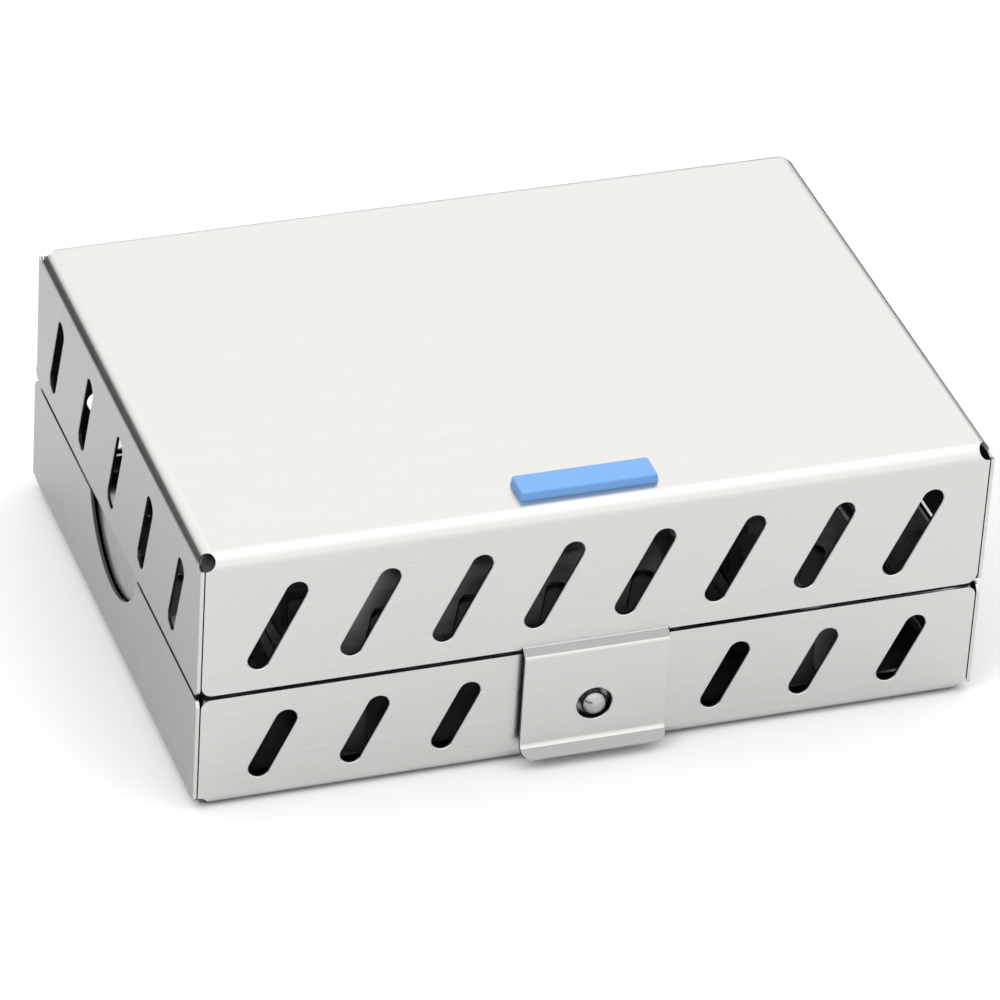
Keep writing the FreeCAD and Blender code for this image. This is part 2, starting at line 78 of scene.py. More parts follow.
def aim_camera(target, round_left, height, roll, distance, lens):
    """Stand a camera on a sphere round the target.

    The way back from the target to the camera is (-sin a cos e, -cos a cos e, sin e) for an angle
    a to the left of the front and a height angle e; the camera looks down its own -Z, and is then
    turned about that line by the roll.
    """
    back = Vector((-math.sin(round_left) * math.cos(height),
                   -math.cos(round_left) * math.cos(height), math.sin(height)))
    data = bpy.data.cameras.new("studio_camera")
    data.lens = lens
    data.sensor_width = 36.0
    data.clip_end = 20.0
    camera = bpy.data.objects.new("studio_camera", data)
    turn = back.to_track_quat("Z", "Y").to_matrix().to_4x4() @ Matrix.Rotation(roll, 4, "Z")
    camera.matrix_world = Matrix.Translation(target + back * distance) @ turn
    bpy.context.scene.collection.objects.link(camera)
    return camera


camera = aim_camera(view_aim, view_from_left, view_height, view_roll, view_distance, lens_length)
bpy.context.scene.camera = camera
bpy.context.scene.view_settings.view_transform = "Standard"
print("camera at", [round(v, 4) for v in camera.matrix_world.translation])

# %% [markdown]
# ## Nodes without clutter
#
# A material is a small graph.  Two helpers keep each one readable: one adds a node and fills its
# sockets, the other starts a material and hands back its shader.  A value that is the same all
# over is typed straight into the shader's socket.

# %% Node helpers


def add_node(tree, kind, inputs=None, **settings):
    """Add a node; inputs maps a socket's name or number to a value or to another node's output."""
    made = tree.nodes.new(kind)
    for key, value in settings.items():
        setattr(made, key, value)
    for key, value in (inputs or {}).items():
        if isinstance(value, bpy.types.NodeSocket):
            tree.links.new(value, made.inputs[key])
        else:
            made.inputs[key].default_value = value
    return made


def new_material(name, **sockets):
    """A material with one Principled shader; keywords set the shader's sockets, _ for a space."""
    material = bpy.data.materials.new(name)
    material.use_nodes = True
    tree = material.node_tree
    shader = tree.nodes["Principled BSDF"]
    for key, value in sockets.items():
        shader.inputs[key.replace("_", " ").capitalize()].default_value = value
    return material, tree, shader


def math_node(tree, operation, first, second=0.0):
    """One sum, product or comparison of two values."""
    return add_node(tree, "ShaderNodeMath", {0: first, 1: second}, operation=operation).outputs[0]


def spread(tree, value, low, high, from_low=0.0, from_high=1.0):
    """Carry a value from one range to another, in a straight line."""
    ranges = {"Value": value, "From Min": from_low, "From Max": from_high, "To Min": low, "To Max": high}
    return add_node(tree, "ShaderNodeMapRange", ranges).outputs[0]


def noise(tree, where, scale, detail=2.0):
    """Cloudy values from 0 to 1; the scale is in clouds per unit of the space."""
    inputs = {"Vector": where, "Scale": scale, "Detail": detail}
    return add_node(tree, "ShaderNodeTexNoise", inputs).outputs["Fac"]


def tinted(tree, colour, shade):
    """A colour times a shade."""
    scaled = add_node(tree, "ShaderNodeVectorMath", {0: colour, "Scale": shade}, operation="SCALE")
    return scaled.outputs[0]


# %% [markdown]
# ## Light and floor
#
# Steel shows the room more than itself.  The top mirrors the wall behind the box, the front mirrors
# the floor before it, and the folds sweep over the ceiling.  So the room is bright all round except
# low down on the left and at the rear, and two dark mats lie behind the box, one on each side: their
# image draws the dark line along each end fold.  Broad lamps light the floor.  The lamps are kept out
# of the mirror image, and the mats out of everything else.

# %% Room
wall_glow = 1.50
ceiling_share = 1.20
left_share = 0.10
skirting_share = 0.45

# name, place, aim, side of the square in metres, power in watts
lamps = [
    ("front_floor_lamp", (0.75, -0.55, 1.00), (0.2, -0.1, 0.0), 1.0, 2.0),
    ("left_floor_lamp", (-0.85, -0.45, 0.85), (-0.2, 0.0, 0.0), 0.8, 6.0),
    ("rear_floor_lamp", (0.0, 1.00, 0.70), (0.0, 0.6, 0.0), 0.6, 1.0),
]


def soft_step(tree, value, start, stop, low, high):
    """Go smoothly from low to high while the value goes from start to stop."""
    ranges = {"Value": value, "From Min": start, "From Max": stop, "To Min": low, "To Max": high}
    return add_node(tree, "ShaderNodeMapRange", ranges, interpolation_type="SMOOTHSTEP").outputs[0]


def studio_room():
    """Brightness by direction: the walls' glow, dimmed low down on the left and at the rear."""
    world = bpy.data.worlds.new("studio_room")
    bpy.context.scene.world = world
    world.use_nodes = True
    tree = world.node_tree
    where = add_node(tree, "ShaderNodeTexCoord").outputs["Generated"]
    direction = add_node(tree, "ShaderNodeSeparateXYZ", {0: where})
    leftness = soft_step(tree, direction.outputs["X"], -0.55, -0.10, left_share, 1.0)
    over_left = soft_step(tree, direction.outputs["Z"], 0.10, 0.50, 0.0, 1.0)
    left = math_node(tree, "MAXIMUM", leftness, over_left)
    over_skirting = soft_step(tree, direction.outputs["Z"], 0.05, 0.40, skirting_share, 1.0)
    in_front = soft_step(tree, direction.outputs["Y"], -0.3, 0.2, 1.0, 0.0)
    skirting = math_node(tree, "MAXIMUM", over_skirting, in_front)
    ceiling = soft_step(tree, direction.outputs["Z"], 0.60, 0.85, 1.0, ceiling_share)
    share = math_node(tree, "MULTIPLY", math_node(tree, "MULTIPLY", left, skirting), ceiling)
    background = tree.nodes["Background"]
    background.inputs["Color"].default_value = (1.0, 0.995, 0.985, 1.0)
    tree.links.new(math_node(tree, "MULTIPLY", share, wall_glow), background.inputs["Strength"])
    return world


def soft_lamp(name, place, aim, size, power):
    """A square lamp facing its aim, which lights matt surfaces but is not mirrored in shiny ones."""
    data = bpy.data.lights.new(name, "AREA")
    data.size = size
    data.energy = power
    lamp = bpy.data.objects.new(name, data)
    turn = (Vector(place) - Vector(aim)).to_track_quat("Z", "Y").to_matrix().to_4x4()
    lamp.matrix_world = Matrix.Translation(Vector(place)) @ turn
    lamp.visible_glossy = False
    bpy.context.scene.collection.objects.link(lamp)
    return lamp


studio_room()
for lamp_settings in lamps:
    soft_lamp(*lamp_settings)
print("room brightness:", wall_glow, " low on the left:", round(wall_glow * left_share, 2))

# %% Floor
floor_half = 1.7
floor_dull = (0.655, 0.655, 0.655, 1)
floor_pale = (0.675, 0.675, 0.675, 1)


def make_floor(half):
    """A flat square just under the box, in a plain near-white paint with faint mottling."""
    mesh = bpy.data.meshes.new("studio_floor")
    corners = half * np.array([(-1, -1, 0), (1, -1, 0), (1, 1, 0), (-1, 1, 0)], float)
    mesh.from_pydata(corners.tolist(), [], [(0, 1, 2, 3)])
    floor = bpy.data.objects.new("studio_floor", mesh)
    bpy.context.scene.collection.objects.link(floor)
    material, tree, shader = new_material("floor_paint", roughness=0.9)
    where = add_node(tree, "ShaderNodeTexCoord").outputs["Object"]
    mottle = noise(tree, where, 9.0)
    tint = add_node(tree, "ShaderNodeMix", {"Factor": mottle, 6: floor_dull, 7: floor_pale},
                    data_type="RGBA").outputs[2]
    tree.links.new(tint, shader.inputs["Base Color"])
    shader.inputs["Specular IOR Level"].default_value = 0.1
    mesh.materials.append(material)
    return floor


make_floor(floor_half)

# %% Dark mats
mat_inner = 0.165
mat_outer = 0.75
mat_front = 0.10
mat_rear = 0.95
mat_lift = 1.0 * mm


def dark_mat(name, side):
    """A dark square on the floor that only shiny surfaces can see."""
    mesh = bpy.data.meshes.new(name)
    corners = [(side * x, y, mat_lift) for x, y in ((mat_inner, mat_front), (mat_outer, mat_front),
                                                    (mat_outer, mat_rear), (mat_inner, mat_rear))]
    mesh.from_pydata(corners, [], [(0, 1, 2, 3)])
    material, _, shader = new_material("mat_cloth", roughness=1.0)
    shader.inputs["Base Color"].default_value = (0.012, 0.012, 0.012, 1.0)
    shader.inputs["Specular IOR Level"].default_value = 0.0
    mesh.materials.append(material)
    mat = bpy.data.objects.new(name, mesh)
    bpy.context.scene.collection.objects.link(mat)
    mat.visible_camera = False
    mat.visible_diffuse = False
    mat.visible_shadow = False
    return mat


for side, name in ((-1, "left_mat"), (1, "right_mat")):
    dark_mat(name, side)

# %% [markdown]
# ## Brushed steel
#
# The blank is brushed along its length before it is folded.  The scratches run left to right on the
# top, front and rear, and where the sheet turns down at the ends they turn with it and stand
# upright.  So the pattern is noise stretched along X, swapped for noise stretched along Z where the
# surface faces left or right.  The scratches tint the steel a little, roughen it a little, and tilt
# its surface a little: all three together read as satin.
#
# The real sheet is one metal, and most of the tints used here are painted shade.  The inner faces, the
# walls of the slots and the tab's rear edges get the darkest tint, a painted shade that keeps the slots
# dark.  The tilted pressed stretches of the tab get a darker tint, a painted shade for their dim
# reflection.  The end walls are darkened, a painted shade for the darker side.  Where surfaces almost
# meet, the colour is darkened further, a painted crevice shade.  These tints are chosen to suit this
# room, and are not measured.

# %% Satin steel
steel_tint = (0.58, 0.576, 0.568)
# Painted shade: this tint darkens the inner faces, the slot walls and the tab's rear edges.
dark_shade_tint = (0.13, 0.128, 0.126)
# Painted shade: this tint darkens the tab's tilted pressed stretches, standing in for their dim reflection.
tilt_shade_tint = (0.29, 0.288, 0.284)
# Painted shade: end_shade darkens the walls that face left or right.
end_shade = 0.60
sheet_polish_tint = (0.27, 0.267, 0.262)
steel_polish_tint = (0.38, 0.377, 0.371)
# Painted crevice shade: the steel's colour is darkened by ambient occlusion where surfaces almost meet.
crevice_reach = 3.0 * mm
crevice_share = 0.05
crevice_closed = 0.28
crevice_open = 0.68


def stretched_noise(tree, where, scale, detail):
    """Noise in a space stretched by three factors, one along each axis."""
    stretched = add_node(tree, "ShaderNodeMapping", {"Vector": where, "Scale": scale}).outputs[0]
    return noise(tree, stretched, 1.0, detail)


def crevice_shade(tree):
    """Painted shade: a factor from the crevice's share, where surfaces almost meet, to 1 in the open."""
    around = add_node(tree, "ShaderNodeAmbientOcclusion", {"Distance": crevice_reach}, samples=6)
    return soft_step(tree, around.outputs["AO"], crevice_closed, crevice_open, crevice_share, 1.0)


def end_wall(tree):
    """1 where the surface faces left or right, 0 elsewhere."""
    facing = add_node(tree, "ShaderNodeNewGeometry").outputs["True Normal"]
    sideways = add_node(tree, "ShaderNodeSeparateXYZ", {0: facing}).outputs["X"]
    return math_node(tree, "GREATER_THAN", math_node(tree, "ABSOLUTE", sideways), 0.7)


def brushed_along_sheet(tree, along, across, detail):
    """Scratches along X, or along Z on walls that face left or right; rates are per metre."""
    where = add_node(tree, "ShaderNodeTexCoord").outputs["Object"]
    is_end = end_wall(tree)
    lengthways = stretched_noise(tree, where, (along, across, across), detail)
    upright = stretched_noise(tree, where, (across, across, along), detail)
    return add_node(tree, "ShaderNodeMix", {"Factor": is_end, 2: lengthways, 3: upright}).outputs[0]


def satin_steel(name, plain_tint):
    """Stainless sheet with a fine satin brush."""
    material, tree, shader = new_material(name, metallic=1.0, roughness=0.3)
    fine = brushed_along_sheet(tree, 60.0, 6500.0, 2.0)
    broad = brushed_along_sheet(tree, 9.0, 900.0, 2.0)
    fine_part = math_node(tree, "MULTIPLY", fine, 0.75)
    broad_part = math_node(tree, "MULTIPLY", broad, 0.25)
    both = math_node(tree, "ADD", fine_part, broad_part)
    grain = spread(tree, both, 0.965, 1.035, 0.25, 0.75)
    # Painted shade: the end walls are darkened by end_shade, and crevices by the occlusion factor.
    ends = math_node(tree, "MULTIPLY", grain, spread(tree, end_wall(tree), 1.0, end_shade))
    shade = math_node(tree, "MULTIPLY", ends, crevice_shade(tree))
    tree.links.new(tinted(tree, plain_tint, shade), shader.inputs["Base Color"])
    tree.links.new(spread(tree, both, 0.26, 0.34, 0.3, 0.7), shader.inputs["Roughness"])
    bump = add_node(tree, "ShaderNodeBump", {"Height": both, "Strength": 0.2, "Distance": 0.00002})
    tree.links.new(bump.outputs[0], shader.inputs["Normal"])
    return material


# %% Polished sheet and polished steel


def polished_sheet():
    """Electropolished sheet of the cradle and the rails: smoother, with faint rolling lines."""
    material, tree, shader = new_material("polished_sheet", metallic=1.0, roughness=0.2)
    lines = brushed_along_sheet(tree, 10.0, 300.0, 3.0)
    shade = spread(tree, lines, 0.96, 1.04, 0.25, 0.75)
    tree.links.new(tinted(tree, sheet_polish_tint, shade), shader.inputs["Base Color"])
    tree.links.new(spread(tree, lines, 0.14, 0.26, 0.3, 0.7), shader.inputs["Roughness"])
    bump = add_node(tree, "ShaderNodeBump", {"Height": lines, "Strength": 0.2, "Distance": 0.00005})
    tree.links.new(bump.outputs[0], shader.inputs["Normal"])
    return material


def polished_steel():
    """Turned and polished steel of the stud, its washer and the pin, with handling marks."""
    material, tree, shader = new_material("polished_steel", metallic=1.0, roughness=0.22)
    where = add_node(tree, "ShaderNodeTexCoord").outputs["Object"]
    marks = noise(tree, where, 1400.0, 4.0)
    shade = spread(tree, marks, 0.94, 1.05, 0.3, 0.7)
    tree.links.new(tinted(tree, steel_polish_tint, shade), shader.inputs["Base Color"])
    tree.links.new(spread(tree, marks, 0.16, 0.3, 0.3, 0.7), shader.inputs["Roughness"])
    return material


steel = satin_steel("satin_steel", steel_tint)
# Painted shade: darker copies of the satin steel, for inward faces and for the tab's tilted stretches.
dark_shade_steel = satin_steel("painted_dark_shade_steel", dark_shade_tint)
tilt_shade_steel = satin_steel("tilt_shade_steel", tilt_shade_tint)
sheet_polish = polished_sheet()
steel_polish = polished_steel()
print("steels:", steel.name, sheet_polish.name, steel_polish.name)

# %% [markdown]
# ## Silicone
#
# Moulded silicone is matt, a little translucent, and very slightly uneven where it left the mould.
# Light enters it and comes out beside where it went in, which softens its edges.

# %% Silicone


def silicone(name, deep, pale, glow):
    """Matt rubber between two near tones, with light scattered inside it and a fine mould grain."""
    material, tree, shader = new_material(name, roughness=0.48)
    where = add_node(tree, "ShaderNodeTexCoord").outputs["Object"]
    cloud = noise(tree, where, 160.0, 3.0)
    grain = noise(tree, where, 4200.0)
    tint = add_node(tree, "ShaderNodeMix", {"Factor": cloud, 6: deep, 7: pale}, data_type="RGBA")
    tree.links.new(tint.outputs[2], shader.inputs["Base Color"])
    tree.links.new(spread(tree, grain, 0.42, 0.56, 0.3, 0.7), shader.inputs["Roughness"])
    bump = add_node(tree, "ShaderNodeBump", {"Height": grain, "Strength": 0.25, "Distance": 0.00004})
    tree.links.new(bump.outputs[0], shader.inputs["Normal"])
    shader.inputs["Subsurface Weight"].default_value = 0.25
    shader.inputs["Subsurface Radius"].default_value = glow
    shader.inputs["Subsurface Scale"].default_value = 0.0015
    return material


blue_silicone = silicone("blue_silicone", (0.096, 0.240, 0.490, 1), (0.110, 0.260, 0.518, 1),
                         (0.4, 0.7, 1.0))
grey_silicone = silicone("grey_silicone", (0.065, 0.070, 0.077, 1), (0.080, 0.085, 0.092, 1),
                         (0.9, 0.9, 1.0))
print("silicones:", blue_silicone.name, grey_silicone.name)

# %% [markdown]
# ## Folded sheet pieces
#
# The CAD nodes are right in shape, but they come as loose triangles, so a bend would show its
# facets.  Each gets a welded copy that stands for it.  In the copy the flat triangles are joined
# into whole faces, and each corner's shading normal leans to the larger face beside it, so that
# flats stay flat and bends turn smoothly.  The tab and the rails also get a small round on their cut
# edges, which catches the light.  The shells and the cradle do without it: their slots already have
# broken edges in the CAD model, and a round on a face with so many holes can tear it.

# %% Welded copies
deburr = 0.10 * mm
fold_angle = math.radians(32.0)
wall_low = np.array([-90.0, -65.0, 0.0]) * mm
wall_high = np.array([90.0, 65.0, 65.2]) * mm
probe = 2.0 * mm
probe_depth = 0.2 * mm
skin_depth = 0.44 * mm
rear_facing = 0.3
side_facing = 0.7
tilted_from = 0.74
tilted_to = 0.92


def welded_mesh(node, name):
    """The node's surface with shared corners, and coplanar triangles joined into whole faces."""
    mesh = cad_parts[node].data.copy()
    mesh.name = name
    mesh.materials.clear()
    work = bmesh.new()
    work.from_mesh(mesh)
    bmesh.ops.remove_doubles(work, verts=work.verts, dist=1e-6)
    bmesh.ops.dissolve_limit(work, angle_limit=math.radians(0.3), verts=work.verts, edges=work.edges,
                             use_dissolve_boundaries=False, delimit={"NORMAL"})
    work.to_mesh(mesh)
    work.free()
    if mesh.has_custom_normals:
        mesh.normals_split_custom_set([(0.0, 0.0, 0.0)] * len(mesh.loops))
    return mesh


def smooth_between(mesh, angle):
    """Shade smoothly, except across edges that turn by more than the angle."""
    mesh.shade_smooth()
    mesh.set_sharp_from_angle(angle=angle)


def depth_inside(points):
    """The least of a point's distances to the six walls of the closed box."""
    return np.minimum((points - wall_low).min(axis=1), (wall_high - points).min(axis=1))


def shell_shade_rule(centres, normals):
    """0 for each outer face of a shell, 1 for each that looks into the box or a slot: painted shade.

    Such a face's centre is more than half the sheet's thickness below the outside, and a point a
    little way out along its normal is still inside.
    """
    below_skin = depth_inside(centres) > skin_depth
    looks_in = depth_inside(centres + probe * normals) > probe_depth
    return (below_skin & looks_in).astype(np.int32)


def tab_shade_rule(centres, normals):
    """0 for the tab's face, 1 for its rear and upright cut edges, 2 where the press tilted it up; 1 and 2
    get painted shade.
    """
    hidden = (normals[:, 1] > rear_facing) | (np.abs(normals[:, 0]) > side_facing)
    tilted = (normals[:, 2] > tilted_from) & (normals[:, 2] < tilted_to) & ~hidden
    return np.where(hidden, 1, np.where(tilted, 2, 0)).astype(np.int32)


def paint_face_shades(mesh, rule, materials):
    """Add the painted-shade copies of the steel, and give each face the one that the rule picks for it."""
    count = len(mesh.polygons)
    centres = np.empty(3 * count)
    normals = np.empty(3 * count)
    mesh.polygons.foreach_get("center", centres)
    mesh.polygons.foreach_get("normal", normals)
    for material in materials:
        mesh.materials.append(material)
    chosen = rule(centres.reshape(-1, 3), normals.reshape(-1, 3))
    mesh.polygons.foreach_set("material_index", chosen)
    return np.bincount(chosen).tolist()


def stand_in(node, body, material, rule, deburred):
    """A finished copy of a CAD node, riding on the same body."""
    name = node + "_sheet"
    mesh = welded_mesh(node, name)
    smooth_between(mesh, fold_angle)
    mesh.materials.append(material)
    if rule:
        # Faces are sorted into the plain steel and its painted-shade copies.
        print(node, "faces by finish:", paint_face_shades(mesh, rule, [dark_shade_steel, tilt_shade_steel]))
    piece = bpy.data.objects.new(name, mesh)
    bpy.context.scene.collection.objects.link(piece)
    if deburred:
        edge = piece.modifiers.new("deburred_edges", "BEVEL")
        edge.width = deburr
        edge.segments = 2
        edge.limit_method = "ANGLE"
        edge.angle_limit = math.radians(60.0)
    lean = piece.modifiers.new("flats_stay_flat", "WEIGHTED_NORMAL")
    lean.keep_sharp = True
    lean.weight = 100
    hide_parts(node)
    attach(piece, body)
    return piece


sheet_pieces = [
    ("base_shell", "base", steel, "satin_steel", shell_shade_rule, False),
    ("lid_shell", "lid", steel, "satin_steel", shell_shade_rule, False),
    ("latch_tab", "latch", steel, "satin_steel", tab_shade_rule, True),
    ("mirror_cradle", "cradle", sheet_polish, "polished_sheet", None, False),
    ("comb_rail_left", "cradle", sheet_polish, "polished_sheet", None, True),
    ("comb_rail_right", "cradle", sheet_polish, "polished_sheet", None, True),
    ("strip_rail_left", "lid", sheet_polish, "polished_sheet", None, True),
    ("strip_rail_right", "lid", sheet_polish, "polished_sheet", None, True),
]
for node, body, material, slot, rule, deburred in sheet_pieces:
    piece = stand_in(node, body, material, rule, deburred)
    print(piece.name, len(piece.data.vertices), "corners", len(piece.data.polygons), "faces")

# %% [markdown]
# ## Skins from rings
#
# Every other piece is a stack of closed rings: a turned stud is a stack of circles, the blue tab a
# stack of rounded rectangles, and a comb a stack of comb outlines.  One function skins them all.

# %% Skin a stack of rings


def stack_faces(layers, around, closed):
    """The faces that skin one stack, as lists of its points' numbers."""
    index = np.arange(layers * around).reshape(layers, around)
    here, there = (index, np.roll(index, -1, 0)) if closed else (index[:-1], index[1:])
    sides = np.stack([here, np.roll(here, -1, 1), np.roll(there, -1, 1), there], axis=-1)
    faces = sides.reshape(-1, 4).tolist()
    if not closed:
        faces += [index[0][::-1].tolist(), index[-1].tolist()]
    return faces


def skinned(name, stacks, body, material, slot, *nodes, closed=False):
    """A closed skin over each stack of rings, all in one piece.

    A stack has the shape (layers, points, 3).  Point j of ring i joins point j of ring i + 1, and
    point j + 1 of both, in one four-sided face.  A closed stack joins its last ring to its first;
    any other gets a face over each end.  The points run anticlockwise seen from beyond the last
    ring, so that the faces look outwards.  Points that fall together are then merged.
    """
    points, faces = [], []
    for rings in stacks:
        first = len(points)
        points += rings.reshape(-1, 3).tolist()
        faces += [[first + corner for corner in face] for face in stack_faces(*rings.shape[:2], closed)]
    mesh = bpy.data.meshes.new(name)
    mesh.from_pydata(points, [], faces)
    work = bmesh.new()
    work.from_mesh(mesh)
    bmesh.ops.remove_doubles(work, verts=work.verts, dist=1e-7)
    work.to_mesh(mesh)
    work.free()
    smooth_between(mesh, fold_angle)
    mesh.materials.append(material)
    piece = bpy.data.objects.new(name, mesh)
    bpy.context.scene.collection.objects.link(piece)
    lean = piece.modifiers.new("flats_stay_flat", "WEIGHTED_NORMAL")
    lean.keep_sharp = True
    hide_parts(*nodes)
    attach(piece, body)
    print(name, len(mesh.vertices), "corners", len(mesh.polygons), "faces")
    return piece


# %% [markdown]
# ## The identification tab
#
# A silicone bar with straight, slightly leaning sides, softly rounded edges and a top that crowns
# by a hair.  Two plugs below it pull through holes in the lid and swell out inside.

# %% Identification tab
corner_steps = 9
id_lean = 0.25 * mm
id_round = 0.45 * mm
id_crown = 0.08 * mm
id_corner = 0.7 * mm


def rounded_rectangle(half_x, half_y, radius, steps=corner_steps):
    """Points round a rectangle: four quarter circles, each about its own corner's centre.

    For an angle t the point is the corner's centre plus radius times (cos t, sin t).
    """
    quarter = np.array([0.0, 90.0, 180.0, 270.0])[:, None]
    turn = np.radians(quarter + np.linspace(0.0, 90.0, steps)[None, :])
    sign_x = np.array([1.0, -1.0, -1.0, 1.0])[:, None]
    sign_y = np.array([1.0, 1.0, -1.0, -1.0])[:, None]
    x = sign_x * (half_x - radius) + radius * np.cos(turn)
    y = sign_y * (half_y - radius) + radius * np.sin(turn)
    return np.stack([x.ravel(), y.ravel()], axis=-1)


def id_tab_rings():
    """Rounded rectangles that climb the side, turn over the edge and close in over the crown."""
    low, high = boxes["id_tab"]
    middle = (low + high) / 2.0
    half_x, half_y = (high - low)[:2] / 2.0
    top = high[2]
    seat = lid_high[2]
    turn = np.radians(np.linspace(0.0, 90.0, 8))
    edge_inset = id_lean + id_round * (1.0 - np.cos(turn))
    edge_z = top - id_crown - id_round + id_round * np.sin(turn)
    share = np.linspace(0.0, 1.0, 6)[1:]
    crown_inset = edge_inset[-1] + share * (half_y - edge_inset[-1] - 0.4 * mm)
    crown_z = edge_z[-1] + id_crown * (1.0 - (1.0 - share) ** 2)
    insets = np.concatenate([[0.0], edge_inset, crown_inset])
    heights = np.concatenate([[seat], edge_z, crown_z])
    rings = []
    for inset, z in zip(insets, heights):
        radius = max(id_corner - inset * 0.5, 0.15 * mm)
        outline = rounded_rectangle(half_x - inset, half_y - inset, radius)
        rings.append(np.column_stack([outline + middle[:2], np.full(len(outline), z)]))
    return np.array(rings)


# %% [markdown]
# ## Turned pieces
#
# The stud is turned from bar: a domed head, a neck that stands off the wall, a shank through it and
# a riveted end inside.  Its profile is carried round its own axis.  The washer and the pin are made
# the same way, each from its own short profile.

# %% Turning
round_steps = 64


def turned_rings(profile, centre, across, up):
    """Circles about an axis: one for each (place along the axis, radius) of the profile.

    For an angle t the point is the centre, plus the place along the axis, plus the radius times
    (cos t along across + sin t along up); across, up and the axis are a right-handed set.
    """
    axis = np.cross(across, up)
    turn = np.linspace(0.0, 2.0 * math.pi, round_steps, endpoint=False)[None, :, None]
    place, radius = profile.T[:, :, None, None]
    return centre + place * axis + radius * (np.cos(turn) * across + np.sin(turn) * up)


def quarter_arc(start_place, start_radius, place_reach, radius_reach, begin, end, steps=9):
    """Part of an ellipse in the profile's plane: reaches times (sin t, cos t) about a centre."""
    turn = np.radians(np.linspace(begin, end, steps))
    return np.column_stack([start_place + place_reach * np.sin(turn),
                            start_radius + radius_reach * np.cos(turn)])


# %% Latch stud
stud_low, stud_high = boxes["latch_stud"]
stud_centre = (stud_low + stud_high) / 2.0
head_radius = (stud_high[0] - stud_low[0]) / 2.0
head_rise = 2.2 * mm
neck_radius = 2.2 * mm
shank_radius = 1.6 * mm
rivet_radius = 2.5 * mm
rivet_rise = 0.7 * mm
washer_low, washer_high = boxes["stud_washer"]


def stud_profile():
    """From the riveted end inside, out along the shank and neck, to the crown of the dome.

    The dome is part of a circle whose radius is (head radius squared + rise squared) / twice the
    rise.  Places run along -Y, the way that the head looks.
    """
    front = -stud_low[1]
    foot = front - head_rise
    rivet_foot = -washer_high[1]
    wall_face = -base_low[1]
    dome_radius = (head_radius ** 2 + head_rise ** 2) / (2.0 * head_rise)
    widest = math.asin((dome_radius - head_rise) / dome_radius)
    turn = np.linspace(widest, math.pi / 2.0, 16)
    dome = np.column_stack([front - dome_radius + dome_radius * np.sin(turn), dome_radius * np.cos(turn)])
    dome[-1, 1] = 0.02 * mm
    rivet = quarter_arc(rivet_foot, 0.0, -rivet_rise, rivet_radius, 89.0, 0.0)
    straight = np.array([(rivet_foot, shank_radius), (wall_face, shank_radius), (wall_face, neck_radius),
                         (foot - 0.1 * mm, neck_radius), (foot, neck_radius + 0.1 * mm),
                         (foot, head_radius - 0.05 * mm)])
    return np.concatenate([rivet, straight, dome])


x_axis, y_axis, z_axis = np.eye(3)
stud_axis_point = np.array([stud_centre[0], 0.0, stud_centre[2]])
skinned("domed_stud", [turned_rings(stud_profile(), stud_axis_point, x_axis, z_axis)],
        "base", steel_polish, "polished_steel", "latch_stud")

# %% Washer and pin
pin_low, pin_high = boxes["hinge_pin"]
pin_end_round = 0.35 * mm
washer_round = 0.12 * mm


def washer_profile():
    """A flat ring with rounded rims, from its bore out over both faces and back."""
    inside, outside = -washer_high[1], -washer_low[1]
    bore = shank_radius + 0.05 * mm
    waist = (washer_high[0] - washer_low[0]) / 2.0 - washer_round
    low_arc = quarter_arc(inside + washer_round, waist, -washer_round, washer_round, 90.0, 0.0, 5)
    high_arc = quarter_arc(outside - washer_round, waist, washer_round, washer_round, 0.0, 90.0, 5)
    return np.concatenate([[(inside, bore)], low_arc, high_arc, [(outside, bore)]])


def pin_profile():
    """A straight bar with quarter rounds at both ends."""
    core = (pin_high[2] - pin_low[2]) / 2.0 - pin_end_round
    left, right = pin_low[0] + pin_end_round, pin_high[0] - pin_end_round
    start = quarter_arc(left, core, -pin_end_round, pin_end_round, 90.0, 0.0, 6)
    stop = quarter_arc(right, core, pin_end_round, pin_end_round, 0.0, 90.0, 6)
    return np.concatenate([start, stop])


skinned("stud_backing_washer", [turned_rings(washer_profile(), stud_axis_point, x_axis, z_axis)],
        "base", steel_polish, "polished_steel", "stud_washer", closed=True)
pin_axis_point = np.array([0.0, (pin_low[1] + pin_high[1]) / 2.0, (pin_low[2] + pin_high[2]) / 2.0])
skinned("full_length_pin", [turned_rings(pin_profile(), pin_axis_point, y_axis, z_axis)],
        "base", steel_polish, "polished_steel", "hinge_pin")

# %% Plugs of the identification tab
plug_radius = 1.7 * mm
plug_spacing = 18.0 * mm
plug_head_radius = 2.6 * mm
plug_sink = 1.0 * mm
plug_head_round = 0.25 * mm
lid_sheet = 0.8 * mm


def plug_profile():
    """From the narrow nose inside the lid, out over the barb, then up the stem into the bar."""
    nose = boxes["id_tab"][0][2]
    ceiling = lid_high[2] - lid_sheet
    barb = quarter_arc(ceiling - plug_head_round, plug_head_radius - plug_head_round,
                       plug_head_round, plug_head_round, -40.0, 90.0, 7)
    return np.concatenate([[(nose, 0.6 * plug_radius), (nose + 0.1 * mm, plug_radius)], barb,
                           [(ceiling, plug_radius), (lid_high[2] + plug_sink, plug_radius)]])


def id_tab_stacks():
    """The bar and its two plugs."""
    low, high = boxes["id_tab"]
    middle = (low + high) / 2.0
    stacks = [id_tab_rings()]
    for side in (-0.5, 0.5):
        foot = np.array([middle[0] + side * plug_spacing, middle[1], 0.0])
        stacks.append(turned_rings(plug_profile(), foot, x_axis, y_axis))
    return stacks


skinned("identification_tab", id_tab_stacks(), "lid", blue_silicone, "blue_silicone", "id_tab")

